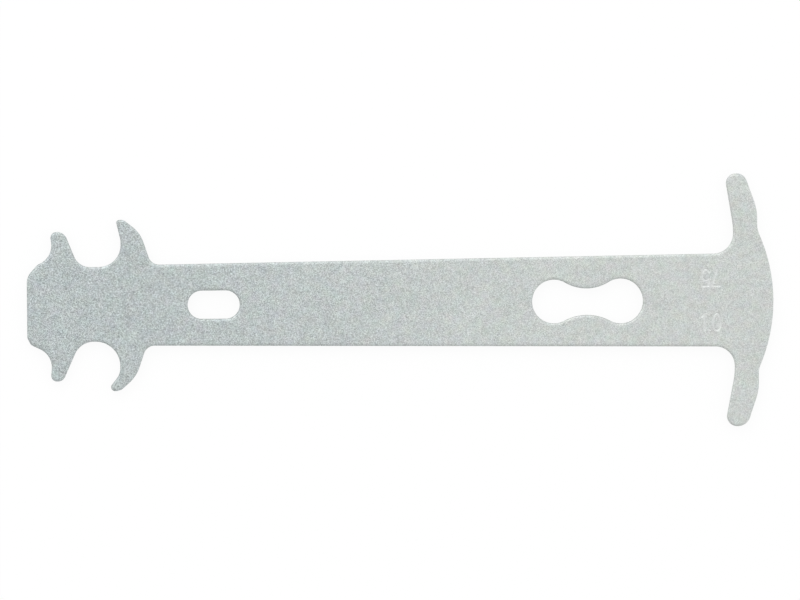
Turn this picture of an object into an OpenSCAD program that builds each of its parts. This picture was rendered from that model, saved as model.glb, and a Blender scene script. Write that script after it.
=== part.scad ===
// Chain wear gauge: one plate stamped from sheet steel.
// It lies flat. X runs from the hook end to the T head, Y across the bar and Z up through the sheet.
// The origin is in the middle of the plate's underside.
// Each long side measures another wear: the +Y side 0.75 percent and the -Y side 1 percent.
// Both sides have the same features, so a side is a list of corners made from that side's own sizes.

/* [Sheet] */
// Thickness of the sheet
sheet_t = 2; // [1:0.1:3]
// Width of the broken edge all round the outline and the holes
edge_break = 0.25; // [0.1:0.05:0.35]

/* [Overall] */
// Length from the 0.75 percent roller face to the gauging face of its arm
gauge_len = 119.45; // [119:0.05:119.9]
// How much longer that length is on the 1 percent side
gauge_step = 0.3; // [0.1:0.05:0.6]
// How far the crown of the T head stands beyond the 0.75 percent gauging face
crown_rise = 2.9; // [2:0.1:3.6]
// Width over the tips of the two T arms
head_span = 47.4; // [44:0.2:52]

/* [Bar] */
// Width of the bar where it leaves the hooks
bar_w_hooks = 15.15; // [14.4:0.05:15.6]
// Width of the bar where it meets the T head
bar_w_head = 17.5; // [16.5:0.05:18.5]

/* [Hooks, both sides] */
// Distance of the short horn's outer corner from the hook end
short_horn_x = 4.35; // [4.1:0.05:4.6]
// Radius of the hollow shoulder between the hook end and the short horn
shoulder_r = 3.75; // [3.2:0.05:4]
// Height of the long horn above the centreline
long_horn_h = 16.05; // [15.6:0.05:17]
// Radius where the roller face starts to curl over the roller
curl_r = 3.35; // [2:0.05:4]
// Radius of the hollow between the long horn's back and the bar
horn_root_r = 2.15; // [1:0.05:3]

/* [T head, both sides] */
// Radius of the crown
crown_r = 30.8; // [27:0.2:36]
// Angle that the crown's flanks lean at, half of the angle that the crown spans
crown_lean = 21.9; // [20:0.1:24]
// Radius of the hollow between the bar and the arms
arm_root_r = 3.8; // [2:0.1:4.6]
// Height above the centreline where an arm's inner face starts to lean
arm_bend_y = 13.9; // [13.4:0.1:15]
// Radius of that bend
arm_bend_r = 15; // [6:0.5:18]
// Height above the centreline where an arm's gauging face turns into its slope
face_top_y = 16.95; // [16.2:0.05:18]
// Radius of that turn
face_top_r = 10; // [4:0.5:12]
// Radius of the hollow where the gauging face runs into the crown
crown_root_r = 4.4; // [2:0.1:5.4]

/* [Side for 0.75 percent] */
// Height of the hook end's corner above the centreline
a_end_y = 5.55; // [5:0.05:5.9]
// Radius of that corner
a_end_r = 3.2; // [1:0.1:3.6]
// Distance of the shoulder's corner from the hook end
a_shoulder_x = 2.05; // [1.7:0.05:2.2]
// Height of the shoulder's corner
a_shoulder_y = 7.8; // [7.6:0.05:8]
// Radius of the shoulder's corner
a_shoulder_corner_r = 1.6; // [0.8:0.05:1.9]
// Distance of the short horn's foot from the hook end
a_foot_x = 5; // [4.8:0.05:5.2]
// Height of the short horn's foot
a_foot_y = 9.1; // [8.8:0.05:9.3]
// Height of the short horn
a_short_horn_h = 13.9; // [13.6:0.05:14.6]
// Radius of the short horn's tip on its outer side
a_short_tip_r = 1.2; // [0.6:0.05:1.3]
// Distance of the short horn's inner corner from the hook end
a_short_inner_x = 7; // [6.9:0.05:7.6]
// Radius of the short horn's tip on its roller side
a_short_inner_r = 2.05; // [0.8:0.05:2.1]
// Distance of the notch floor's first corner from the hook end
a_notch_x = 9.7; // [9.2:0.05:10.2]
// Height of the notch floor above the centreline
a_notch_y = 7.25; // [6.6:0.05:7.7]
// Radius of the notch beside the short horn
a_notch_outer_r = 3.25; // [2:0.05:3.6]
// Radius of the notch beside the long horn
a_notch_inner_r = 4.1; // [3:0.05:4.4]
// Distance of the long horn's roller face from the hook end
a_roller_face_x = 17.65; // [17.3:0.05:18]
// Height at which the roller face starts to curl
a_curl_y = 12.25; // [11.9:0.05:12.8]
// Distance of the long horn's tip from the hook end
a_long_tip_x = 16.75; // [16.5:0.05:17.2]
// Radius of the long horn's tip
a_long_tip_r = 0.5; // [0.4:0.05:0.6]
// Distance of the tip's outer corner from the hook end
a_long_back_x = 18.2; // [18:0.05:18.6]
// Radius of the tip's outer corner
a_long_back_r = 0.95; // [0.5:0.05:1.2]
// Distance of the long horn's knee from the hook end
a_knee_x = 21.3; // [21:0.05:21.7]
// Height of the long horn's knee
a_knee_y = 13.65; // [13.3:0.05:14]
// Radius of the long horn's knee
a_knee_r = 6.35; // [4:0.05:7]
// Distance of the long horn's root from the hook end
a_root_x = 23.35; // [23:0.05:24]
// Width of the arm at its root, behind the gauging face
a_arm_w = 4.5; // [4:0.05:5]
// Distance that the arm's inner side leans towards the bar at its tip
a_tip_lean = 1.55; // [1.2:0.05:1.9]
// Radius of the arm's tip on its inner side
a_tip_inner_r = 1.75; // [1:0.05:1.8]
// Distance of the tip's outer corner from the gauging face
a_tip_slope = 2.4; // [2.2:0.05:2.6]
// Radius of the arm's tip on its outer side
a_tip_outer_r = 1.95; // [1:0.05:2.1]

/* [Side for 1 percent] */
// Height of the hook end's corner above the centreline
b_end_y = 5.9; // [5.3:0.1:6.2]
// Radius of that corner
b_end_r = 0.6; // [0.4:0.1:1]
// Distance of the shoulder's corner from the hook end
b_shoulder_x = 0.65; // [0.5:0.05:1]
// Height of the shoulder's corner
b_shoulder_y = 7.25; // [7.1:0.05:7.5]
// Radius of the shoulder's corner
b_shoulder_corner_r = 1.1; // [0.5:0.05:1.4]
// Distance of the short horn's foot from the hook end
b_foot_x = 4.75; // [4.6:0.05:5]
// Height of the short horn's foot
b_foot_y = 9.2; // [8.9:0.05:9.5]
// Height of the short horn
b_short_horn_h = 14.15; // [13.9:0.05:14.8]
// Radius of the short horn's tip on its outer side
b_short_tip_r = 1.05; // [0.6:0.05:1.15]
// Distance of the short horn's inner corner from the hook end
b_short_inner_x = 6.6; // [6.5:0.05:7.2]
// Radius of the short horn's tip on its roller side
b_short_inner_r = 1.4; // [0.8:0.05:1.5]
// Distance of the notch floor's first corner from the hook end
b_notch_x = 9.9; // [9.4:0.05:10.4]
// Height of the notch floor above the centreline
b_notch_y = 6.75; // [6.2:0.05:7.2]
// Radius of the notch beside the short horn
b_notch_outer_r = 3.9; // [2.4:0.05:4]
// Radius of the notch beside the long horn
b_notch_inner_r = 4.6; // [3:0.05:4.7]
// Distance of the long horn's roller face from the hook end
b_roller_face_x = 17.4; // [17.1:0.05:17.8]
// Height at which the roller face starts to curl
b_curl_y = 12.8; // [12.5:0.05:13.2]
// Distance of the long horn's tip from the hook end
b_long_tip_x = 14.85; // [14.6:0.05:15.2]
// Radius of the long horn's tip
b_long_tip_r = 0.8; // [0.5:0.05:0.9]
// Distance of the tip's outer corner from the hook end
b_long_back_x = 17.35; // [17.1:0.05:17.6]
// Radius of the tip's outer corner
b_long_back_r = 2.5; // [1:0.05:2.8]
// Distance of the long horn's knee from the hook end
b_knee_x = 20.4; // [20.1:0.05:20.8]
// Height of the long horn's knee
b_knee_y = 13.3; // [13:0.05:13.7]
// Radius of the long horn's knee
b_knee_r = 6.95; // [4:0.05:7.4]
// Distance of the long horn's root from the hook end
b_root_x = 22.35; // [22:0.05:23]
// Width of the arm at its root, behind the gauging face
b_arm_w = 4.45; // [4:0.05:5]
// Distance that the arm's inner side leans towards the bar at its tip
b_tip_lean = 1.95; // [1.6:0.05:2.3]
// Radius of the arm's tip on its inner side
b_tip_inner_r = 2.05; // [1:0.05:2.1]
// Distance of the tip's outer corner from the gauging face
b_tip_slope = 2.3; // [2.1:0.05:2.5]
// Radius of the arm's tip on its outer side
b_tip_outer_r = 2.7; // [1:0.05:2.8]

/* [Hang slot] */
// Length of the slot
slot_len = 9.8; // [8:0.1:14]
// Width of the slot
slot_w = 5.3; // [4.4:0.1:7]
// Distance of the slot's middle from the hook end
slot_x = 35; // [31:0.1:40]

/* [Link-shaped window] */
// Distance between the middles of the two lobes, one chain link
lobe_pitch = 12.5; // [11.5:0.1:13.5]
// Radius of the lobe nearer the hooks
lobe_hook_r = 4.1; // [3.6:0.05:4.6]
// Radius of the lobe nearer the T head
lobe_head_r = 4.2; // [3.6:0.05:4.7]
// Distance of the window's middle from the crown
window_x = 34.9; // [31:0.1:40]
// Radius of the waist on the 0.75 percent side
a_waist_r = 7.9; // [6:0.1:12]
// Radius of the waist on the 1 percent side
b_waist_r = 9; // [6:0.1:12]

/* [Hidden] */
$fn = 72;

// Length from the hook end to the crown of the T head, which the origin halves
overall_len = a_roller_face_x + gauge_len + crown_rise;
hook_end = -overall_len / 2;
crown_end = overall_len / 2;
// How far round and straight pieces cross where they only just touch, so that they join as one
lap = 0.004;
// How far a rounding reaches across the chord of its arc, so that it joins or cuts cleanly there
chord_lap = 0.05;
// How far a hole's cutter stands out of the sheet
out = 1;
// How far the cutter of a broken edge stands out of the sheet
edge_out = 0.5;
// Share of an edge that the two roundings at its ends may use
round_share = 0.98;
// Share of a corner's radius that its broken edge may use
break_share = 0.8;

// The sizes of a side, in the order in which side_corners takes them
side_a = [
    gauge_len, a_end_y, a_end_r, a_shoulder_x, a_shoulder_y, a_shoulder_corner_r,
    a_foot_x, a_foot_y, a_short_horn_h, a_short_tip_r, a_short_inner_x, a_short_inner_r,
    a_notch_x, a_notch_y, a_notch_outer_r, a_notch_inner_r, a_roller_face_x, a_curl_y,
    a_long_tip_x, a_long_tip_r, a_long_back_x, a_long_back_r, a_knee_x, a_knee_y, a_knee_r,
    a_root_x, a_arm_w, a_tip_lean, a_tip_inner_r, a_tip_slope, a_tip_outer_r
];
side_b = [
    gauge_len + gauge_step, b_end_y, b_end_r, b_shoulder_x, b_shoulder_y, b_shoulder_corner_r,
    b_foot_x, b_foot_y, b_short_horn_h, b_short_tip_r, b_short_inner_x, b_short_inner_r,
    b_notch_x, b_notch_y, b_notch_outer_r, b_notch_inner_r, b_roller_face_x, b_curl_y,
    b_long_tip_x, b_long_tip_r, b_long_back_x, b_long_back_r, b_knee_x, b_knee_y, b_knee_r,
    b_root_x, b_arm_w, b_tip_lean, b_tip_inner_r, b_tip_slope, b_tip_outer_r
];

// Where the flanks of the crown would meet on the centreline
crown_tip_x = crown_end - crown_r + crown_r / cos(crown_lean);

// Half width of the bar at x: the bar widens evenly between the horn roots and the arms
bar_from = hook_end + (a_root_x + b_root_x) / 2;
bar_to = (gauging_face(side_a) - a_arm_w + gauging_face(side_b) - b_arm_w) / 2;
function bar_half(x) =
    (bar_w_hooks + (bar_w_head - bar_w_hooks) * (x - bar_from) / (bar_to - bar_from)) / 2;

// Place along X of a side's gauging face
function gauging_face(s) = hook_end + s[16] + s[0];

// Corners [x, height above the centreline, radius] of one side, from the hook end to the crown
function side_corners(s) =
    let (
        end_y = s[1], end_r = s[2], shoulder_x = s[3], shoulder_y = s[4], corner_r = s[5],
        foot_x = s[6], foot_y = s[7], short_h = s[8], tip_r = s[9], inner_x = s[10], inner_r = s[11],
        notch_x = s[12], notch_y = s[13], outer_notch_r = s[14], inner_notch_r = s[15],
        roller_x = s[16], curl_y = s[17], long_x = s[18], long_r = s[19], back_x = s[20],
        back_r = s[21], knee_x = s[22], knee_y = s[23], knee_r = s[24],
        root_x = hook_end + s[25], face_x = gauging_face(s), arm_x = face_x - s[26],
        tip_x = arm_x - s[27], tip_inner_r = s[28], tip_outer_x = face_x - s[29], tip_outer_r = s[30],
        tip_y = head_span / 2
    ) [
        [hook_end, end_y, end_r],
        [hook_end + shoulder_x, shoulder_y, corner_r],
        [hook_end + foot_x, foot_y, shoulder_r],
        [hook_end + short_horn_x, short_h, tip_r],
        [hook_end + inner_x, short_h, inner_r],
        [hook_end + notch_x, notch_y, outer_notch_r],
        [hook_end + roller_x, notch_y, inner_notch_r],
        [hook_end + roller_x, curl_y, curl_r],
        [hook_end + long_x, long_horn_h, long_r],
        [hook_end + back_x, long_horn_h, back_r],
        [hook_end + knee_x, knee_y, knee_r],
        [root_x, bar_half(root_x), horn_root_r],
        [arm_x, bar_half(arm_x), arm_root_r],
        [arm_x, arm_bend_y, arm_bend_r],
        [tip_x, tip_y, tip_inner_r],
        [tip_outer_x, tip_y, tip_outer_r],
        [face_x, face_top_y, face_top_r],
        [face_x, (crown_tip_x - face_x) / tan(crown_lean), crown_root_r]
    ];

// The whole outline, counterclockwise: the -Y side, the crown and the +Y side back again
plus_side = side_corners(side_a);
minus_side = side_corners(side_b);
outline = concat(
    [for (c = minus_side) [c[0], -c[1], c[2]]],
    [[crown_tip_x, 0, crown_r]],
    [for (i = [len(plus_side) - 1:-1:0]) plus_side[i]]
);

// Geometry of a closed, counterclockwise row of corners p; edge i runs from corner i to the next one
function xy(c) = [c[0], c[1]];
function before(p, i) = (i + len(p) - 1) % len(p);
function after(p, i) = (i + 1) % len(p);
function edge(p, i) = xy(p[after(p, i)]) - xy(p[i]);
function way(p, i) = edge(p, i) / norm(edge(p, i));
function turn(p, i) =
    let (a = way(p, before(p, i)), b = way(p, i)) atan2(cross(a, b), a * b);
function inward(d) = [-d[1], d[0]];
// Length that a corner's rounding takes off each of its edges, before it is fitted to them
function wanted(p, i) = p[i][2] * tan(abs(turn(p, i)) / 2);
function room(p, i) = min(1, round_share * norm(edge(p, i)) / (wanted(p, i) + wanted(p, after(p, i))));
function fitted(p, i) = min(room(p, before(p, i)), room(p, i));
function radius(p, i) = p[i][2] * fitted(p, i);
function arc_start(p, i) = xy(p[i]) - way(p, before(p, i)) * wanted(p, i) * fitted(p, i);
function arc_end(p, i) = xy(p[i]) + way(p, i) * wanted(p, i) * fitted(p, i);
function convex(p, i) = turn(p, i) > 0;
function middle(p, i) =
    arc_start(p, i) + inward(way(p, before(p, i))) * radius(p, i) * sign(turn(p, i));

// Point just across the middle of an arc's chord, seen from the corner
function across_chord(p, i) =
    let (chord = (arc_start(p, i) + arc_end(p, i)) / 2, spoke = middle(p, i) - chord)
    chord + spoke / norm(spoke) * chord_lap;

// The rounding at corner i of p: the part of its circle that lies between the corner and the chord
module rounding(p, i) {
    intersection() {
        translate(middle(p, i))
            circle(r = radius(p, i) + lap);
        polygon([arc_start(p, i), xy(p[i]), arc_end(p, i), across_chord(p, i)]);
    }
}

// The flat shape inside the corners p, with every corner a true arc
module rounded_shape(p) {
    last = len(p) - 1;
    difference() {
        union() {
            polygon([for (i = [0:last]) each [arc_start(p, i), arc_end(p, i)]]);
            for (i = [0:last])
                if (convex(p, i)) rounding(p, i);
        }
        for (i = [0:last])
            if (!convex(p, i)) rounding(p, i);
    }
}

// Length along an edge within which an arc of radius r that touches it stays within the lap
function reach(r) = sqrt(2 * r * lap);

// Section of the cutter that breaks both edges of an outer face at x0 by the width wide; dir is 1
// where the sheet lies beyond x0 and -1 where it lies before it, and over is how far the cutter
// stands out
module edge_section(x0, dir, wide, over) {
    for (face = [[0, -1], [sheet_t, 1]])
        polygon([
            [x0 + dir * (wide + over), face[0] + face[1] * over],
            [x0 - dir * over, face[0] - face[1] * (wide + over)],
            [x0 - dir * over, face[0] + face[1] * over]
        ]);
}

// Breaks the edges of the straight face along edge i of p
module straight_edge_cutter(p, i) {
    j = after(p, i);
    ahead = reach(radius(p, i)) * (convex(p, i) ? 1.5 : 0.5);
    past = reach(radius(p, j)) * (convex(p, j) ? 1.5 : 0.5);
    length = norm(arc_start(p, j) - arc_end(p, i)) + ahead + past;
    translate(arc_end(p, i) - way(p, i) * ahead)
        rotate([0, 0, atan2(way(p, i)[1], way(p, i)[0])])
            rotate([90, 0, 90])
                linear_extrude(height = length)
                    edge_section(0, 1, edge_break, edge_out);
}

// Breaks the edges of the round face at corner i of p
module round_edge_cutter(p, i) {
    r = radius(p, i);
    wide = min(edge_break, break_share * r);
    angle = abs(turn(p, i));
    spoke = arc_start(p, i) - middle(p, i);
    past = reach(r) / r * 180 / PI * (convex(p, i) ? 0.5 : 1.5);
    first = atan2(spoke[1], spoke[0]) - (convex(p, i) ? 0 : angle) - past;
    translate(middle(p, i))
        rotate([0, 0, first])
            rotate_extrude(angle = angle + 2 * past)
                if (convex(p, i)) {
                    edge_section(r + lap, -1, wide, min(edge_out, (r - wide) / 2));
                } else {
                    edge_section(r - lap, 1, wide, min(edge_out, r / 2));
                }
}

// Half section of a hole of radius r that opens out at both faces; grow is 1 for the hole
// itself and -1 for a round tongue of sheet that stands into a hole
module hole_section(r, grow) {
    wide = r + grow * (edge_break + out);
    polygon([
        [0, -out],
        [wide, -out],
        [r, edge_break],
        [r, sheet_t - edge_break],
        [wide, sheet_t + out],
        [0, sheet_t + out]
    ]);
}

module round_hole(x, r) {
    translate([x, 0, 0])
        rotate_extrude()
            hole_section(r, 1);
}

// Cutter for the hang slot: two round ends and the straight stretch between them
module slot_cutter() {
    x = hook_end + slot_x;
    half = (slot_len - slot_w) / 2;
    round_hole(x - half, slot_w / 2);
    round_hole(x + half, slot_w / 2);
    translate([x - half, 0, 0])
        rotate([90, 0, 90])
            linear_extrude(height = 2 * half)
                for (m = [0, 1])
                    mirror([m, 0])
                        hole_section(slot_w / 2 - lap, 1);
}

// Place of the middle of a waist arc of radius r, which touches both lobes and the waist line
function waist_middle(r) = let (
    d1 = r + lobe_hook_r, d2 = r + lobe_head_r,
    along = (lobe_pitch * lobe_pitch + d1 * d1 - d2 * d2) / (2 * lobe_pitch)
) [along, sqrt(d1 * d1 - along * along)];

// Cutter for the window: two lobes joined by a waist between two round tongues of sheet
module window_cutter() {
    x = crown_end - window_x - lobe_pitch / 2;
    top = waist_middle(a_waist_r);
    bottom = waist_middle(b_waist_r);
    round_hole(x, lobe_hook_r + lap);
    round_hole(x + lobe_pitch, lobe_head_r + lap);
    translate([x, 0, 0])
        difference() {
            translate([0, 0, -out / 2])
                linear_extrude(height = sheet_t + out)
                    polygon([[0, 0], [bottom[0], -bottom[1]], [lobe_pitch, 0], [top[0], top[1]]]);
            translate([top[0], top[1], 0])
                rotate_extrude()
                    hole_section(a_waist_r, -1);
            translate([bottom[0], -bottom[1], 0])
                rotate_extrude()
                    hole_section(b_waist_r, -1);
        }
}

module gauge_plate() {
    color([0.77, 0.80, 0.80])
        difference() {
            linear_extrude(height = sheet_t)
                rounded_shape(outline);
            for (i = [0:len(outline) - 1]) {
                straight_edge_cutter(outline, i);
                round_edge_cutter(outline, i);
            }
            slot_cutter();
            window_cutter();
        }
}

gauge_plate();
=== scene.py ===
import math

import bpy
import numpy as np
from bpy.props import FloatProperty, FloatVectorProperty, IntProperty, PointerProperty
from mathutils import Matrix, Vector
from mathutils.geometry import delaunay_2d_cdt


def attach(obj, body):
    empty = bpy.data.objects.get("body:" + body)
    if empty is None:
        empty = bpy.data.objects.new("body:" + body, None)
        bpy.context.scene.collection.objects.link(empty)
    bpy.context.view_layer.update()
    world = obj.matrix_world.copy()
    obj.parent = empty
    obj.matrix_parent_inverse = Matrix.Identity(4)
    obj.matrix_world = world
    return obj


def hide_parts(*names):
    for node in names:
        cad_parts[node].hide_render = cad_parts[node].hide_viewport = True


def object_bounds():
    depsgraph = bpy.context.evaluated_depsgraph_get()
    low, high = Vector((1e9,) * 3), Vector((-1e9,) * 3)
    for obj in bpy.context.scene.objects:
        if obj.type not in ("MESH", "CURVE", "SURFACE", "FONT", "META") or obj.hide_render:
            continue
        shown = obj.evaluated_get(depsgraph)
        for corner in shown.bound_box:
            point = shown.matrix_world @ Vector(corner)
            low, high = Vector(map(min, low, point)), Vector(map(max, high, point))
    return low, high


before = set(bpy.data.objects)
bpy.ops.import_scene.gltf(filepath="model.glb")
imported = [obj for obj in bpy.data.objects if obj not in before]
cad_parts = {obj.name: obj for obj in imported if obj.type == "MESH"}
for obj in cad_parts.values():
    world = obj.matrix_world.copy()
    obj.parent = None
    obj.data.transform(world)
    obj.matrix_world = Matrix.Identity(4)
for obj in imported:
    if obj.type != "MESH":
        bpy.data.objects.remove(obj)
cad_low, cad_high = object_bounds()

bl_info = {
    "name": "Chain wear gauge looks",
    "version": (1, 0, 0),
    "blender": (4, 5, 0),
    "location": "3D View > Sidebar > Chain gauge",
    "description": "Dresses a stamped steel chain wear gauge and sets the stage that it lies on",
    "category": "Object",
}

NODE = "gauge_plate"
BODY = "root"
MM = 0.001

# Corners of one long side from the hook end to the arm's root, in millimetres: distance from the
# hook end, height above the centreline and radius. The bar's own corners are worked out below.
HOOKS_075 = (
    (0.0, 5.55, 3.2),
    (2.05, 7.8, 1.6),
    (5.0, 9.1, 3.75),
    (4.35, 13.9, 1.2),
    (7.0, 13.9, 2.05),
    (9.7, 7.25, 3.25),
    (17.65, 7.25, 4.1),
    (17.65, 12.25, 3.35),
    (16.75, 16.05, 0.5),
    (18.2, 16.05, 0.95),
    (21.3, 13.65, 6.35),
)
HOOKS_100 = (
    (0.0, 5.9, 0.6),
    (0.65, 7.25, 1.1),
    (4.75, 9.2, 3.75),
    (4.35, 14.15, 1.05),
    (6.6, 14.15, 1.4),
    (9.9, 6.75, 3.9),
    (17.4, 6.75, 4.6),
    (17.4, 12.8, 3.35),
    (14.85, 16.05, 0.8),
    (17.35, 16.05, 2.5),
    (20.4, 13.3, 6.95),
)
# The arm of each side: root of the horn, gauging face, arm width, lean of the inner side, radius of
# the tip inside, slope of the tip outside and its radius
ARM_075 = (23.35, 137.1, 4.5, 1.55, 1.75, 2.4, 1.95)
ARM_100 = (22.35, 137.15, 4.45, 1.95, 2.05, 2.3, 2.7)

# Strokes of the stamped figures in a box one wide and one high: each row is a stroke's corners
SEVEN = (((0.0, 1.0), (1.0, 1.0), (0.36, 0.0)),)
FIVE = (((0.94, 1.0), (0.16, 1.0), (0.06, 0.55)),)
ONE = (((0.12, 0.8), (0.5, 1.0), (0.5, 0.0)),)
# Where the first figure of each value starts, from the plate's middle, and a figure's width for its
# height. The value on the 0.75 percent side is turned half round about its place.
SPOT_075 = (59.9, 5.85)
SPOT_100 = (56.35, -5.6)
FIGURE_WIDTH = 0.45

# How far the light tone, for rims that tumbling rubs and for the painted highlight on the stamped
# figures, and the torn tone cover the plating where their marks are 1
WEAR_AND_SHEEN_SHARE = 0.15
TORN_SHARE = 0.6

# The sky: the way that it brightens, and its strength on the dark side and on the bright side
SKY_WAY = (0.48, 0.82, 0.1)
SKY_DARK = 0.52
SKY_BRIGHT = 1.06
LAMP_SPOT = (-0.25, 0.5, 0.6)
LAMP_SIZE = (0.9, 0.5)


class PlateSizes(bpy.types.PropertyGroup):
    """Sizes of the plate that the looks are built with."""

    thickness: FloatProperty(
        name="Thickness", description="Thickness of the sheet",
        default=cad_high.z - cad_low.z, unit="LENGTH", precision=5)
    length: FloatProperty(
        name="Length", description="From the hook end to the crown",
        default=-2 * cad_low.x, unit="LENGTH", precision=5)
    span: FloatProperty(
        name="Head span", description="Over the tips of the two arms",
        default=cad_high.y - cad_low.y, unit="LENGTH", precision=5)
    bar_hooks: FloatProperty(
        name="Bar at the hooks", description="Width of the bar where it leaves the hooks",
        default=15.15 * MM, unit="LENGTH", precision=5)
    bar_head: FloatProperty(
        name="Bar at the head", description="Width of the bar where it meets the head",
        default=17.5 * MM, unit="LENGTH", precision=5)
    crown_r: FloatProperty(
        name="Crown radius", description="Radius of the crown",
        default=30.8 * MM, unit="LENGTH", precision=5)
    crown_lean: FloatProperty(
        name="Crown lean", description="Half of the angle that the crown spans",
        default=math.radians(21.9), subtype="ANGLE")
    slot_x: FloatProperty(
        name="Slot place", description="From the hook end to the slot's middle",
        default=35.0 * MM, unit="LENGTH", precision=5)
    slot_len: FloatProperty(
        name="Slot length", description="Length of the hang slot",
        default=9.8 * MM, unit="LENGTH", precision=5)
    slot_w: FloatProperty(
        name="Slot width", description="Width of the hang slot",
        default=5.3 * MM, unit="LENGTH", precision=5)
    window_x: FloatProperty(
        name="Window place", description="From the crown to the window's middle",
        default=34.9 * MM, unit="LENGTH", precision=5)
    lobe_pitch: FloatProperty(
        name="Lobe pitch", description="Between the middles of the window's lobes",
        default=12.5 * MM, unit="LENGTH", precision=5)
    lobe_hook_r: FloatProperty(
        name="Hook lobe", description="Radius of the lobe nearer the hooks",
        default=4.1 * MM, unit="LENGTH", precision=5)
    lobe_head_r: FloatProperty(
        name="Head lobe", description="Radius of the lobe nearer the head",
        default=4.2 * MM, unit="LENGTH", precision=5)
    waist_075_r: FloatProperty(
        name="Waist, 0.75 side", description="Radius of the waist on the 0.75 percent side",
        default=7.9 * MM, unit="LENGTH", precision=5)
    waist_100_r: FloatProperty(
        name="Waist, 1.0 side", description="Radius of the waist on the 1 percent side",
        default=9.0 * MM, unit="LENGTH", precision=5)
    roll_width: FloatProperty(
        name="Roll-over width", description="How far in from the edge punching bends the top face down",
        default=0.62 * MM, unit="LENGTH", precision=5)
    roll_depth: FloatProperty(
        name="Roll-over depth", description="How far down that bend reaches at the wall",
        default=0.26 * MM, unit="LENGTH", precision=5)
    round_under: FloatProperty(
        name="Under rounding", description="Radius of the edges underneath",
        default=0.22 * MM, unit="LENGTH", precision=5)
    shear_share: FloatProperty(
        name="Sheared share", description="Share of the wall's height that is smoothly sheared",
        default=0.4, min=0.1, max=0.9)
    break_back: FloatProperty(
        name="Break back", description="How far the torn part of the wall falls back underneath",
        default=0.05 * MM, unit="LENGTH", precision=5)
    arc_steps: IntProperty(
        name="Arc steps", description="Steps round each corner", default=22, min=6, max=64)


class StampSizes(bpy.types.PropertyGroup):
    """Sizes of the two stamped values."""

    height: FloatProperty(
        name="Height", description="Height of the figures",
        default=3.15 * MM, unit="LENGTH", precision=5)
    stroke: FloatProperty(
        name="Stroke", description="Half of the width of a pressed stroke",
        default=0.26 * MM, unit="LENGTH", precision=5)
    depth: FloatProperty(
        name="Depth", description="How deep the figures are pressed in",
        default=0.13 * MM, unit="LENGTH", precision=5)
    cell: FloatProperty(
        name="Cell", description="Cell of the fine grid round the figures",
        default=0.065 * MM, unit="LENGTH", precision=6)


class PlateFinish(bpy.types.PropertyGroup):
    """Colours and grain of the tumbled zinc finish, with painted shade and light along the plate and a
    painted highlight on the stamped figures.
    """

    # Painted shade and light: the plating is drawn darker and bluer at the hook end and lighter and
    # warmer at the head, in place of light that grows across the plate towards the head.
    shaded_tone_hooks: FloatVectorProperty(
        name="Tone at the hooks", description="Colour of the plating at the hook end",
        subtype="COLOR", size=3, default=(0.47, 0.514, 0.514), min=0, max=1)
    lit_tone_head: FloatVectorProperty(
        name="Tone at the head", description="Colour of the plating at the head",
        subtype="COLOR", size=3, default=(0.58, 0.609, 0.59), min=0, max=1)
    # The same light tone also paints a highlight on the stamped figures.
    tone_worn_and_sheen: FloatVectorProperty(
        name="Tone of the rims", description="Colour where tumbling has rubbed the rims",
        subtype="COLOR", size=3, default=(0.76, 0.78, 0.77), min=0, max=1)
    tone_torn: FloatVectorProperty(
        name="Tone of the torn wall", description="Colour of the rough lower part of the walls",
        subtype="COLOR", size=3, default=(0.33, 0.345, 0.35), min=0, max=1)
    grain: FloatProperty(
        name="Grain", description="Size of the crystals that make the fine speckle",
        default=0.11 * MM, unit="LENGTH", precision=6)
    speckle_hooks: FloatProperty(
        name="Speckle at the hooks", description="How far a crystal is darker or lighter there",
        default=0.46, min=0, max=1)
    speckle_head: FloatProperty(
        name="Speckle at the head", description="How far a crystal is darker or lighter there",
        default=0.24, min=0, max=1)
    roughness: FloatProperty(
        name="Roughness", description="Roughness of the tumbled face", default=0.5, min=0, max=1)


class StageSettings(bpy.types.PropertyGroup):
    """Floor, light and camera."""

    floor_colour: FloatVectorProperty(
        name="Floor", description="Colour of the floor", subtype="COLOR", size=3,
        default=(0.96, 0.96, 0.96), min=0, max=1)
    floor_shadow: FloatProperty(
        name="Shadow share", description="Share of the floor's look that comes from the light on it",
        default=0.09, min=0, max=1)
    sky: FloatProperty(
        name="Sky", description="Strength of the light from all round", default=1.0, min=0, max=2)
    key: FloatProperty(
        name="Key lamp", description="Power of the large soft lamp beyond the picture's top",
        default=1.1, min=0, max=200)
    view_width: FloatProperty(
        name="View width", description="Width of the picture where the plate's top lies",
        default=150.0 * MM, unit="LENGTH")
    lens: FloatProperty(name="Lens", description="Focal length in millimetres", default=200.0)
    turn: FloatProperty(
        name="Turn", description="How far the picture is turned against the plate",
        subtype="ANGLE", default=math.radians(-0.527))


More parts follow.
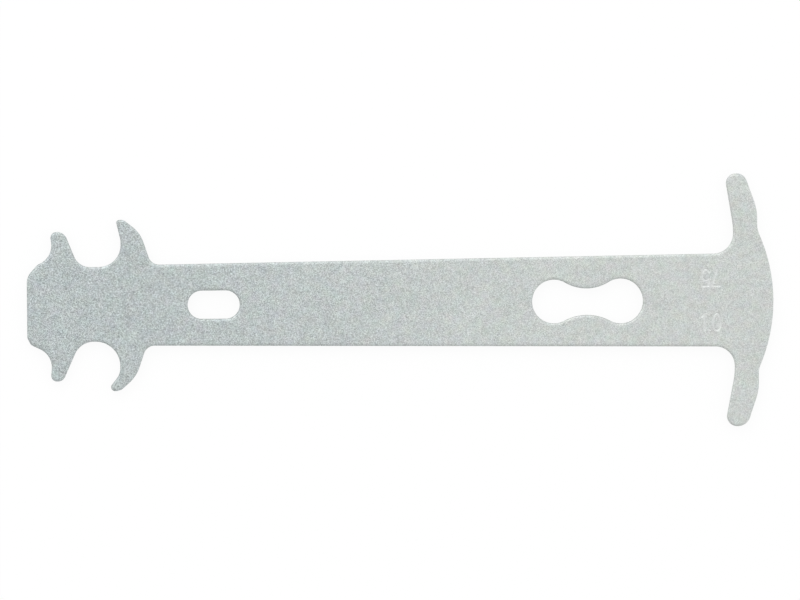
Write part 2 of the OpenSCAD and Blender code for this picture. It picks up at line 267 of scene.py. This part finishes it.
def round_corners(corners, steps, share=0.98):
    """Points and outward normals of a closed, counterclockwise row of rounded corners.

    Each corner is cut off by a circle that touches both of its edges. It starts radius times
    tan(turn / 2) before the corner, shortened where two roundings don't fit on one edge, and a
    point at the share t of it lies at middle + radius * (cos, sin) of (first angle + turn * t).
    The normal points away from the circle's middle where the corner is convex, else towards it.
    The third array is how far in the rim may reach there, which is most of a convex radius.
    """
    spots, radius = corners[:, :2], corners[:, 2]
    edge = np.roll(spots, -1, 0) - spots
    length = np.linalg.norm(edge, axis=1)
    way = edge / length[:, None]
    back = np.roll(way, 1, 0)
    turn = np.arctan2(back[:, 0] * way[:, 1] - back[:, 1] * way[:, 0], (back * way).sum(1))
    wanted = radius * np.tan(np.abs(turn) / 2)
    room = np.minimum(1, share * length / (wanted + np.roll(wanted, -1)))
    fitted = np.minimum(np.roll(room, 1), room)
    start = spots - back * (wanted * fitted)[:, None]
    side = np.sign(turn)
    inward = np.stack([-back[:, 1], back[:, 0]], 1)
    r = radius * fitted
    middle = start + inward * (r * side)[:, None]
    first = np.arctan2(*(start - middle).T[::-1])
    angle = first[:, None] + turn[:, None] * np.linspace(0, 1, steps + 1)
    ray = np.stack([np.cos(angle), np.sin(angle)], -1)
    points = middle[:, None] + ray * r[:, None, None]
    reach = np.repeat(np.where(side > 0, 0.8 * r, np.inf), steps + 1)
    return points.reshape(-1, 2), (ray * side[:, None, None]).reshape(-1, 2), reach


def join_arcs(middles, radii, starts, ends, faces, steps, open_ends):
    """Points and normals of a closed row of arcs.

    A point at the share t of an arc lies at middle + radius * (cos, sin) of its angle, which runs
    evenly from the start to the end. The normal is that ray times the arc's face, which is -1
    where the hole lies on the side of the middle. With open_ends the last point of an arc is kept,
    because a straight stretch follows it.
    """
    share = np.linspace(0, 1, steps + 1)
    if not open_ends:
        share = share[:-1]
    angle = starts[:, None] + (ends - starts)[:, None] * share
    ray = np.stack([np.cos(angle), np.sin(angle)], -1)
    points = middles[:, None] + ray * radii[:, None, None]
    reach = np.repeat(np.where(faces > 0, 0.8 * radii, np.inf), len(share))
    return points.reshape(-1, 2), (ray * faces[:, None, None]).reshape(-1, 2), reach


def side_corners(hooks, arm, sizes, tip_x):
    """Corners of one long side: its hooks, then the bar, the arm and the flank of the crown.

    The bar's half height grows evenly from the horns' roots to the arms, and the last corner is
    where the gauging face meets the flank, which falls from tip_x at the crown's lean.
    """
    root, face, width, lean, inner_r, slope, outer_r = arm
    horn_x = (ARM_075[0] + ARM_100[0]) / 2
    arm_x = (ARM_075[1] - ARM_075[2] + ARM_100[1] - ARM_100[2]) / 2
    low, high = sizes.bar_hooks / MM, sizes.bar_head / MM
    tip_y = sizes.span / MM / 2
    inner = face - width

    def half(x):
        return (low + (high - low) * (x - horn_x) / (arm_x - horn_x)) / 2

    rest = (
        (root, half(root), 2.15),
        (inner, half(inner), 3.8),
        (inner, 13.9, 15.0),
        (inner - lean, tip_y, inner_r),
        (face - slope, tip_y, outer_r),
        (face, 16.95, 10.0),
        (face, (tip_x - face) / math.tan(sizes.crown_lean), 4.4),
    )
    return np.array(hooks + rest)


def outline_path(sizes):
    """The plate's outline, counterclockwise from the hook end along the 1 percent side, round the
    crown and back along the 0.75 percent side, in millimetres about the plate's middle."""
    length, crown = sizes.length / MM, sizes.crown_r / MM
    tip_x = length - crown + crown / math.cos(sizes.crown_lean)
    below = side_corners(HOOKS_100, ARM_100, sizes, tip_x) * np.array([1, -1, 1])
    above = side_corners(HOOKS_075, ARM_075, sizes, tip_x)[::-1]
    corners = np.concatenate([below, [[tip_x, 0, crown]], above])
    corners[:, 0] -= length / 2
    return round_corners(corners, sizes.arc_steps)


def slot_path(sizes):
    """The hang slot, clockwise: two half circles joined by straight stretches."""
    half = (sizes.slot_len - sizes.slot_w) / 2 / MM
    r = sizes.slot_w / 2 / MM
    x = (sizes.slot_x - sizes.length / 2) / MM
    turn = math.pi / 2
    return join_arcs(
        np.array([[x + half, 0], [x - half, 0]]), np.array([r, r]),
        np.array([turn, -turn]), np.array([-turn, -3 * turn]), np.array([-1, -1]),
        2 * sizes.arc_steps, True)


def window_path(sizes):
    """The link-shaped window, clockwise: the hook lobe, the upper waist, the head lobe and the
    lower waist. Each waist's circle touches both lobes from outside, so its middle is as far from
    each lobe's middle as their two radii together."""
    pitch = sizes.lobe_pitch / MM
    lobes = np.array([sizes.lobe_hook_r, sizes.lobe_head_r]) / MM
    waists = np.array([sizes.waist_075_r, sizes.waist_100_r]) / MM
    reach = waists + lobes[0]
    along = (pitch ** 2 + reach ** 2 - (waists + lobes[1]) ** 2) / (2 * pitch)
    rise = np.sqrt(reach ** 2 - along ** 2) * np.array([1, -1])
    up = np.arctan2(rise, along)
    over = np.arctan2(rise, along - pitch)
    middles = np.array([[0, 0], [along[0], rise[0]], [pitch, 0], [along[1], rise[1]]])
    middles[:, 0] += (sizes.length / 2 - sizes.window_x) / MM - pitch / 2
    radii = np.array([lobes[0], waists[0], lobes[1], waists[1]])
    starts = np.array([up[1], up[0] + math.pi, over[0], over[1] + math.pi])
    ends = np.array([up[0] - 2 * math.pi, over[0] + math.pi, over[1], up[1] + math.pi])
    faces = np.array([-1, 1, -1, 1])
    return join_arcs(middles, radii, starts, ends, faces, 2 * sizes.arc_steps, False)


def wall_profile(sizes):
    """Section of the plate's rim from the top face to the underside.

    Columns: fixed distance out from the outline, share of the roll-over's width, height, the
    normal's part outwards and its part upwards, wear and torn share. A quarter ellipse, roll_width
    wide and roll_depth high, runs from the top face into the sheared wall. Below it the torn wall
    falls back evenly by break_back, and a quarter circle of round_under runs into the underside.
    Wear is 2 * cos^2 * sin of the quarter ellipse's angle, and the torn share is 1 on the torn wall
    and 0.6 * cos round the lower edge.
    """
    t = sizes.thickness / MM
    deep, under, back = sizes.roll_depth / MM, sizes.round_under / MM, sizes.break_back / MM
    shear = t - deep - (t - deep - under) * sizes.shear_share
    quarter = np.linspace(math.pi / 2, 0, 10)
    cos, sin = np.cos(quarter), np.sin(quarter)
    none = 0 * cos
    rubbed_and_sheen = 2 * cos ** 2 * sin
    upper = np.stack([none, cos - 1, t - deep + deep * sin, cos * deep, sin, rubbed_and_sheen, none], 1)
    edge = np.array([[0, 0, shear, 1, 0, 0, 0.2]])
    torn = np.linspace(0, 1, 4)[1:-1]
    empty = 0 * torn
    wall = np.stack(
        [-back * torn, empty, shear + (under - shear) * torn, 1 + empty, empty, empty, 1 + empty], 1)
    lower = np.stack(
        [under * (cos - 1) - back, none, under * (1 - sin), cos, -sin, none, 0.6 * cos], 1)
    return np.concatenate([upper, edge, wall, lower[::-1]])


def sweep(path, section, width):
    """Carries the section along a closed path.

    The point (i, j) is the path's point i moved out along its normal by the section's fixed
    distance plus its share of the roll-over's width there. The width is the stated one, or less
    where a tight convex corner leaves no room for it, and the normal of that quarter ellipse is
    (cos / width, sin / depth).
    """
    points, normals, reach = path
    width = np.minimum(width, reach)[:, None]
    out = section[:, 0] + section[:, 1] * width
    rolled = section[:, 1] < 0
    top = np.arange(len(section)) <= np.flatnonzero(rolled).max() + 1
    part = np.where(top, section[:, 3] / width, section[:, 3])
    up = np.broadcast_to(section[:, 4], out.shape)
    size = np.hypot(part, up)
    spot = points[:, None] + normals[:, None] * out[..., None]
    high = np.broadcast_to(section[:, 2], out.shape)[..., None]
    facing = np.concatenate([normals[:, None] * (part / size)[..., None], (up / size)[..., None]], -1)
    marks = np.broadcast_to(section[None, :, 5:7], out.shape + (2,))
    return np.concatenate([spot, high, facing, marks], -1)


def ring_faces(count, rows, first):
    """Quads of a closed band of count points by rows, its outer side to the right of the path."""
    i, j = np.meshgrid(np.arange(count), np.arange(rows - 1), indexing="ij")
    after = (i + 1) % count
    quads = [i * rows + j, i * rows + j + 1, after * rows + j + 1, after * rows + j]
    return first + np.stack(quads, -1).reshape(-1, 4)


def figure_strokes(strokes, left, base, width, height):
    """Straight pieces [x0, y0, x1, y1] of a figure's strokes, put into a box at left and base."""
    scale, shift = np.array([width, height]), np.array([left, base])
    rows = [np.array(s) * scale + shift for s in strokes]
    return np.concatenate([np.concatenate([r[:-1], r[1:]], 1) for r in rows])


def bowl(middle, radii, start, end, steps=22):
    """Corners along an ellipse: middle + radii * (cos, sin) of an evenly growing angle."""
    angle = np.radians(np.linspace(start, end, steps))
    return tuple(zip(middle[0] + radii[0] * np.cos(angle), middle[1] + radii[1] * np.sin(angle)))


def stamp_075(stamp):
    """Strokes of the value on the 0.75 percent side, which reads from the other side of the plate."""
    h = stamp.height / MM
    width = FIGURE_WIDTH * h
    five = (FIVE[0] + bowl((0.46, 0.33), (0.48, 0.33), 132, -150),)
    rows = np.concatenate([
        figure_strokes(SEVEN, 0, 0, width, h),
        figure_strokes(five, width * 1.32, 0, width, h),
    ])
    return np.tile(SPOT_075, 2) - rows


def stamp_100(stamp):
    """Strokes of the value on the 1 percent side: a one, a point and a nought."""
    h = stamp.height / MM
    width = FIGURE_WIDTH * h
    nought = (bowl((0.5, 0.5), (0.5, 0.5), 0, 360, 34),)
    point = (((0.0, 0.0), (0.02, 0.0)),)
    rows = np.concatenate([
        figure_strokes(ONE, 0, 0, width, h),
        figure_strokes(point, width * 1.15, 0.1, width, h),
        figure_strokes(nought, width * 1.62, 0, width, h),
    ])
    return np.tile(SPOT_100, 2) + rows


def stamped_patch(rows, stamp, thickness):
    """A fine grid round a stamped value.

    The height at (x, y) is the sheet's top less depth times (1 + cos(pi * d / stroke)) / 2, where d
    is the distance to the nearest stroke, and it is the plain top further off than the stroke.
    The mark for the light tone is 4 on the inner 0.6 of the stroke, and beyond it 4 * exp(-((d - 0.6
    stroke) / (0.5 stroke))^2): a painted highlight that draws the figures and their edges light, in
    place of the light that their pressed strokes catch.
    """
    cell, reach, deep = stamp.cell / MM, stamp.stroke / MM, stamp.depth / MM
    low = rows.reshape(-1, 2).min(0) - 2.4 * reach
    high = rows.reshape(-1, 2).max(0) + 2.4 * reach
    nx, ny = np.ceil((high - low) / cell).astype(int) + 1
    xs, ys = np.linspace(low[0], high[0], nx), np.linspace(low[1], high[1], ny)
    x, y = np.meshgrid(xs, ys, indexing="ij")
    start, way = rows[:, :2], rows[:, 2:] - rows[:, :2]
    spot = np.stack([x, y], -1)[:, :, None]
    share = np.clip(((spot - start) * way).sum(-1) / (way ** 2).sum(-1), 0, 1)
    far = np.linalg.norm(spot - start - share[..., None] * way, axis=-1).min(-1)
    dip = np.where(far < reach, (1 + np.cos(np.pi * far / reach)) / 2, 0)
    z = thickness - deep * dip
    slope_x, slope_y = np.gradient(z, xs[1] - xs[0], ys[1] - ys[0])
    facing = np.stack([-slope_x, -slope_y, np.ones_like(z)], -1)
    facing /= np.linalg.norm(facing, axis=-1)[..., None]
    # Painted highlight: the pressed figures are marked for the light tone.
    rubbed_and_sheen = np.exp(-(np.maximum(far - 0.6 * reach, 0) / (0.5 * reach)) ** 2)
    marks = np.stack([4.0 * rubbed_and_sheen, 0 * rubbed_and_sheen], -1)
    return np.concatenate([x[..., None], y[..., None], z[..., None], facing, marks], -1)


def patch_border(nx, ny):
    """Places of a grid's border points in its flattened array, once round."""
    place = np.arange(nx * ny).reshape(nx, ny)
    return np.concatenate([place[:-1, 0], place[-1, :-1], place[:0:-1, -1], place[0, :0:-1]])


def inside(points, loops):
    """True where a point lies inside an odd number of loops, by counting the edges left of it."""
    count = np.zeros(len(points), int)
    for loop in loops:
        a, b = loop, np.roll(loop, -1, 0)
        low, high = np.minimum(a[:, 1], b[:, 1]), np.maximum(a[:, 1], b[:, 1])
        y = points[:, 1:2]
        cross = (y >= low) & (y < high)
        rise = np.where(b[:, 1] == a[:, 1], 1, b[:, 1] - a[:, 1])
        at = a[:, 0] + (y - a[:, 1]) / rise * (b[:, 0] - a[:, 0])
        count += (cross & (at < points[:, :1])).sum(1)
    return count % 2 == 1


def flat_fill(loops):
    """Triangles that fill the flat space between the loops, as places in their joined points."""
    points = np.concatenate(loops)
    sizes = np.array([len(loop) for loop in loops])
    firsts = np.concatenate([[0], np.cumsum(sizes)[:-1]])
    edges = np.concatenate([
        np.stack([first + np.arange(n), first + (np.arange(n) + 1) % n], 1)
        for first, n in zip(firsts, sizes)])
    made = delaunay_2d_cdt(points.tolist(), edges.tolist(), [], 0, 1e-7)
    if len(made[0]) != len(points):
        raise RuntimeError("the flat faces' borders cross or touch")
    faces = np.array(made[2])
    kept = faces[inside(points[faces].mean(1), loops)]
    a, b, c = (points[kept[:, k]] for k in range(3))
    area = (b[:, 0] - a[:, 0]) * (c[:, 1] - a[:, 1]) - (b[:, 1] - a[:, 1]) * (c[:, 0] - a[:, 0])
    return np.where(area[:, None] > 0, kept, kept[:, ::-1])


def plate_mesh(sizes, stamp):
    """The whole plate as one closed mesh: the rim swept round the outline and both holes, the flat
    faces between them, and the fine grids of the stamped values in the top face."""
    section = wall_profile(sizes)
    rows = len(section)
    paths = [outline_path(sizes), slot_path(sizes), window_path(sizes)]
    bands = [sweep(path, section, sizes.roll_width / MM) for path in paths]
    values = (stamp_075(stamp), stamp_100(stamp))
    patches = [stamped_patch(value, stamp, sizes.thickness / MM) for value in values]
    flat = [band.reshape(-1, band.shape[-1]) for band in bands + patches]
    firsts = np.concatenate([[0], np.cumsum([len(f) for f in flat])[:-1]])
    quads = [ring_faces(len(band), rows, first) for band, first in zip(bands, firsts)]
    borders = []
    for patch, first in zip(patches, firsts[len(bands):]):
        nx, ny = patch.shape[:2]
        i, j = np.meshgrid(np.arange(nx - 1), np.arange(ny - 1), indexing="ij")
        corner = i * ny + j
        cells = np.stack([corner, corner + ny, corner + ny + 1, corner + 1], -1)
        quads.append(first + cells.reshape(-1, 4))
        borders.append(first + patch_border(nx, ny))
    points = np.concatenate(flat)
    top = [first + np.arange(len(band)) * rows for band, first in zip(bands, firsts)]
    under = [ring + rows - 1 for ring in top]
    top += borders
    faces_top = np.concatenate(top)[flat_fill([points[ring, :2] for ring in top])]
    faces_under = np.concatenate(under)[flat_fill([points[ring, :2] for ring in under])][:, ::-1]
    quads = np.concatenate(quads)
    triangles = np.concatenate([faces_top, faces_under])
    mesh = bpy.data.meshes.new("gauge_plate_tumbled")
    mesh.vertices.add(len(points))
    mesh.vertices.foreach_set("co", (points[:, :3] * MM).astype(np.float32).ravel())
    corners = np.concatenate([quads.ravel(), triangles.ravel()])
    mesh.loops.add(len(corners))
    mesh.loops.foreach_set("vertex_index", corners.astype(np.int32))
    counts = np.concatenate([np.full(len(quads), 4), np.full(len(triangles), 3)])
    starts = np.concatenate([[0], np.cumsum(counts)[:-1]])
    mesh.polygons.add(len(counts))
    mesh.polygons.foreach_set("loop_start", starts.astype(np.int32))
    mesh.polygons.foreach_set("loop_total", counts.astype(np.int32))
    mesh.update(calc_edges=True)
    mesh.polygons.foreach_set("use_smooth", np.ones(len(counts), bool))
    # The first mark is rubbing on the rims and a painted highlight on the stamped figures.
    for name, column in (("wear", 6), ("torn", 7)):
        mark = mesh.attributes.new(name, "FLOAT", "POINT")
        mark.data.foreach_set("value", points[:, column].astype(np.float32))
    if mesh.validate(verbose=False):
        raise RuntimeError("the plate's mesh had faults")
    mesh.normals_split_custom_set_from_vertices(points[:, 3:6].tolist())
    return mesh


def add_node(tree, kind, **values):
    """A node of the kind with its named sockets and settings filled in."""
    node = tree.nodes.new(kind)
    for name, value in values.items():
        if name in node.inputs:
            node.inputs[name].default_value = value
        else:
            setattr(node, name, value)
    return node


def zinc_material(finish, sizes):
    """Tumbled zinc plating: painted shade and light that make it darker and bluer at the hook end and
    lighter and warmer at the head, with cloudy patches, fine grain and pits, edges brightened by
    tumbling, a painted highlight on the stamped figures and a darker torn band on the punched walls."""
    material = bpy.data.materials.new("tumbled_zinc")
    material.use_nodes = True
    tree = material.node_tree
    tree.nodes.clear()
    link = tree.links.new
    out = tree.nodes.new("ShaderNodeOutputMaterial")
    shader = add_node(tree, "ShaderNodeBsdfPrincipled", Metallic=1.0)
    link(shader.outputs["BSDF"], out.inputs["Surface"])
    place = tree.nodes.new("ShaderNodeTexCoord").outputs["Object"]

    split = tree.nodes.new("ShaderNodeSeparateXYZ")
    link(place, split.inputs[0])
    # Painted shade and light along the plate: the colour runs from the darker hook tone to the lighter
    # head tone.
    along = add_node(tree, "ShaderNodeMapRange", interpolation_type="SMOOTHSTEP")
    along.inputs["From Min"].default_value = -0.45 * sizes.length
    along.inputs["From Max"].default_value = 0.42 * sizes.length
    link(split.outputs["X"], along.inputs["Value"])
    tone = add_node(tree, "ShaderNodeMix", data_type="RGBA")
    tone.inputs[6].default_value = (*finish.shaded_tone_hooks, 1)
    tone.inputs[7].default_value = (*finish.lit_tone_head, 1)
    link(along.outputs[0], tone.inputs[0])

    def spread(value, low, high, first=0.3, last=0.7):
        node = tree.nodes.new("ShaderNodeMapRange")
        node.inputs["From Min"].default_value = first
        node.inputs["From Max"].default_value = last
        node.inputs["To Min"].default_value = low
        node.inputs["To Max"].default_value = high
        link(value, node.inputs["Value"])
        return node.outputs[0]

    def sums(operation, *values):
        node = add_node(tree, "ShaderNodeMath", operation=operation)
        for socket, value in zip(node.inputs, values):
            if isinstance(value, float):
                socket.default_value = value
            else:
                link(value, socket)
        return node.outputs[0]

    # Each crystal has its own brightness, and the plating is coarser at the hook end
    crystal = add_node(tree, "ShaderNodeTexVoronoi", Scale=1 / finish.grain)
    link(place, crystal.inputs["Vector"])
    own = tree.nodes.new("ShaderNodeSeparateColor")
    link(crystal.outputs["Color"], own.inputs[0])
    swing = spread(own.outputs[0], -1.0, 1.0, 0.0, 1.0)
    amount = spread(along.outputs[0], finish.speckle_hooks, finish.speckle_head, 0.0, 1.0)
    speckle = sums("MULTIPLY_ADD", swing, amount, 1.0)
    fine = add_node(tree, "ShaderNodeTexNoise", Scale=1.0 / finish.grain, Detail=2.0, Roughness=0.6)
    link(place, fine.inputs["Vector"])
    blot = add_node(tree, "ShaderNodeTexNoise", Scale=0.08 / finish.grain, Detail=2.0, Roughness=0.6)
    link(place, blot.inputs["Vector"])
    cloud = add_node(tree, "ShaderNodeTexNoise", Scale=110.0, Detail=2.0, Roughness=0.55)
    link(place, cloud.inputs["Vector"])
    level = sums("MULTIPLY", speckle, spread(blot.outputs["Fac"], 0.985, 1.015))
    level = sums("MULTIPLY", level, spread(cloud.outputs["Fac"], 0.98, 1.02))
    grained = add_node(tree, "ShaderNodeVectorMath", operation="SCALE")
    link(tone.outputs[2], grained.inputs[0])
    link(level, grained.inputs["Scale"])

    # Faint drifts of hue, as thin plating shows
    hues = add_node(tree, "ShaderNodeTexNoise", Scale=520.0, Detail=3.0, Roughness=0.6)
    link(place, hues.inputs["Vector"])
    drift = add_node(tree, "ShaderNodeMapRange", data_type="FLOAT_VECTOR")
    for name, value in (("From Min", 0.3), ("From Max", 0.7), ("To Min", 0.975), ("To Max", 1.025)):
        socket = [one for one in drift.inputs if one.name == name and one.type == "VECTOR"][0]
        socket.default_value = (value, value, value)
    link(hues.outputs["Color"], [one for one in drift.inputs if one.name == "Vector"][0])
    tinted = add_node(tree, "ShaderNodeVectorMath", operation="MULTIPLY")
    link(grained.outputs[0], tinted.inputs[0])
    link(drift.outputs["Vector"], tinted.inputs[1])

    # Lighter on rims that tumbling rubs, with a painted highlight on the stamped figures, and darker on
    # the torn walls.
    wear_and_sheen_mark = add_node(tree, "ShaderNodeAttribute", attribute_name="wear")
    torn = add_node(tree, "ShaderNodeAttribute", attribute_name="torn")
    bright = add_node(tree, "ShaderNodeMix", data_type="RGBA", blend_type="MIX")
    bright.inputs[7].default_value = (*finish.tone_worn_and_sheen, 1)
    link(sums("MULTIPLY", wear_and_sheen_mark.outputs["Fac"], WEAR_AND_SHEEN_SHARE), bright.inputs[0])
    link(tinted.outputs[0], bright.inputs[6])
    dark = add_node(tree, "ShaderNodeMix", data_type="RGBA", blend_type="MIX")
    dark.inputs[7].default_value = (*finish.tone_torn, 1)
    link(sums("MULTIPLY", torn.outputs["Fac"], TORN_SHARE), dark.inputs[0])
    link(bright.outputs[2], dark.inputs[6])
    link(dark.outputs[2], shader.inputs["Base Color"])

    gloss = spread(blot.outputs["Fac"], finish.roughness + 0.07, finish.roughness - 0.07)
    gloss = sums("MULTIPLY_ADD", torn.outputs["Fac"], 0.15, gloss)
    link(gloss, shader.inputs["Roughness"])

    grit = add_node(tree, "ShaderNodeBump", Strength=0.35, Distance=0.00002)
    link(fine.outputs["Fac"], grit.inputs["Height"])
    pits = add_node(tree, "ShaderNodeBump", Strength=0.15, Distance=0.00004)
    link(blot.outputs["Fac"], pits.inputs["Height"])
    link(grit.outputs[0], pits.inputs["Normal"])
    link(pits.outputs[0], shader.inputs["Normal"])
    return material


class GAUGE_OT_plate(bpy.types.Operator):
    """Builds the gauge's plate with its rounded edges and stamped values, and plates it with zinc"""

    bl_idname = "gauge.plate"
    bl_label = "Build the plate"

    def execute(self, context):
        scene = context.scene
        mesh = plate_mesh(scene.gauge_sizes, scene.gauge_stamp)
        plate = bpy.data.objects.new("gauge_plate_tumbled", mesh)
        scene.collection.objects.link(plate)
        material = zinc_material(scene.gauge_finish, scene.gauge_sizes)
        plate.data.materials.append(material)
        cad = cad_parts[NODE]
        for spot in cad.material_slots:
            spot.material = material
        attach(plate, BODY)
        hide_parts(NODE)
        return {"FINISHED"}


class GAUGE_OT_stage(bpy.types.Operator):
    """Lays the white floor, sets the soft light and hangs the camera straight above the plate"""

    bl_idname = "gauge.stage"
    bl_label = "Set the stage"

    def execute(self, context):
        scene = context.scene
        stage = scene.gauge_stage
        self.lay_floor(scene, stage)
        self.light(scene, stage)
        self.hang_camera(scene, stage)
        scene.view_settings.view_transform = "Standard"
        return {"FINISHED"}

    def lay_floor(self, scene, stage):
        """A flat square floor under the plate, white to the camera and in reflections."""
        side = np.array([[-1, -1], [1, -1], [1, 1], [-1, 1]]) * 4.0
        corners = np.concatenate([side, np.full((4, 1), cad_low.z - 0.00002)], 1)
        mesh = bpy.data.meshes.new("floor")
        mesh.from_pydata(corners.tolist(), [], [(0, 1, 2, 3)])
        floor = bpy.data.objects.new("floor", mesh)
        scene.collection.objects.link(floor)
        material = bpy.data.materials.new("white_floor")
        material.use_nodes = True
        tree = material.node_tree
        tree.nodes.clear()
        link = tree.links.new
        out = tree.nodes.new("ShaderNodeOutputMaterial")
        plain = add_node(tree, "ShaderNodeBsdfDiffuse", Color=(*stage.floor_colour, 1))
        glow = add_node(tree, "ShaderNodeEmission", Color=(1, 1, 1, 1), Strength=1.0)
        part = tree.nodes.new("ShaderNodeMixShader")
        part.inputs[0].default_value = stage.floor_shadow
        link(glow.outputs[0], part.inputs[1])
        link(plain.outputs[0], part.inputs[2])
        rays = tree.nodes.new("ShaderNodeLightPath")
        seen = add_node(tree, "ShaderNodeMath", operation="MAXIMUM")
        link(rays.outputs["Is Camera Ray"], seen.inputs[0])
        link(rays.outputs["Is Glossy Ray"], seen.inputs[1])
        either = add_node(tree, "ShaderNodeMath", operation="MAXIMUM")
        link(seen.outputs[0], either.inputs[0])
        link(rays.outputs["Is Transmission Ray"], either.inputs[1])
        whole = tree.nodes.new("ShaderNodeMixShader")
        link(either.outputs[0], whole.inputs[0])
        link(plain.outputs[0], whole.inputs[1])
        link(part.outputs[0], whole.inputs[2])
        link(whole.outputs[0], out.inputs["Surface"])
        mesh.materials.append(material)

    def light(self, scene, stage):
        """A pale sky, darker low beyond the picture's bottom left, and one soft lamp."""
        world = bpy.data.worlds.new("soft_sky")
        world.use_nodes = True
        tree = world.node_tree
        tree.nodes.clear()
        link = tree.links.new
        out = tree.nodes.new("ShaderNodeOutputWorld")
        sky = add_node(tree, "ShaderNodeBackground", Strength=stage.sky)
        way = tree.nodes.new("ShaderNodeTexCoord")
        lean = add_node(tree, "ShaderNodeVectorMath", operation="DOT_PRODUCT")
        lean.inputs[1].default_value = SKY_WAY
        link(way.outputs["Generated"], lean.inputs[0])
        ramp = tree.nodes.new("ShaderNodeMapRange")
        ramp.inputs["From Min"].default_value = -0.95
        ramp.inputs["From Max"].default_value = 0.0
        ramp.inputs["To Min"].default_value = SKY_DARK
        ramp.inputs["To Max"].default_value = SKY_BRIGHT
        link(lean.outputs["Value"], ramp.inputs["Value"])
        link(ramp.outputs[0], sky.inputs["Color"])
        link(sky.outputs[0], out.inputs["Surface"])
        scene.world = world
        lamp = bpy.data.lights.new("key_lamp", "AREA")
        lamp.shape = "RECTANGLE"
        lamp.size, lamp.size_y = LAMP_SIZE
        lamp.energy = stage.key
        lamp_object = bpy.data.objects.new("key_lamp", lamp)
        spot = Vector(LAMP_SPOT)
        lamp_object.location = spot
        lamp_object.rotation_euler = (-spot).to_track_quat("-Z", "Y").to_euler()
        scene.collection.objects.link(lamp_object)

    def hang_camera(self, scene, stage):
        """The camera looks straight down: its height is the lens over the sensor's width times the
        view's width, above the plate's top."""
        camera = bpy.data.cameras.new("camera")
        camera.lens = stage.lens
        camera.sensor_width = 36.0
        height = stage.lens / camera.sensor_width * stage.view_width
        camera.clip_start, camera.clip_end = 0.01, 20.0
        hung = bpy.data.objects.new("camera", camera)
        hung.location = (-0.03 * MM, 0.55 * MM, cad_high.z + height)
        hung.rotation_euler = (0, 0, stage.turn)
        scene.collection.objects.link(hung)
        scene.camera = hung


class GAUGE_PT_panel(bpy.types.Panel):
    """Lists the gauge's sizes, finish and stage with the steps that build them"""

    bl_idname = "GAUGE_PT_panel"
    bl_label = "Chain wear gauge"
    bl_space_type = "VIEW_3D"
    bl_region_type = "UI"
    bl_category = "Chain gauge"

    def draw(self, context):
        layout = self.layout
        scene = context.scene
        layout.operator("gauge.plate")
        layout.operator("gauge.stage")
        for group in (scene.gauge_sizes, scene.gauge_stamp, scene.gauge_finish, scene.gauge_stage):
            box = layout.box()
            for name in group.__annotations__:
                box.prop(group, name)


GROUPS = (PlateSizes, StampSizes, PlateFinish, StageSettings)
PARTS = (GAUGE_OT_plate, GAUGE_OT_stage, GAUGE_PT_panel)


def register():
    """Makes the properties, operators and panel known to Blender."""
    for item in GROUPS + PARTS:
        bpy.utils.register_class(item)
    scene = bpy.types.Scene
    scene.gauge_sizes = PointerProperty(type=PlateSizes)
    scene.gauge_stamp = PointerProperty(type=StampSizes)
    scene.gauge_finish = PointerProperty(type=PlateFinish)
    scene.gauge_stage = PointerProperty(type=StageSettings)


def unregister():
    """Takes them away again."""
    scene = bpy.types.Scene
    del scene.gauge_stage, scene.gauge_finish, scene.gauge_stamp, scene.gauge_sizes
    for item in reversed(GROUPS + PARTS):
        bpy.utils.unregister_class(item)


def main():
    """Builds everything in order."""
    register()
    bpy.ops.gauge.plate()
    bpy.ops.gauge.stage()


if __name__ == "__main__":
    main()
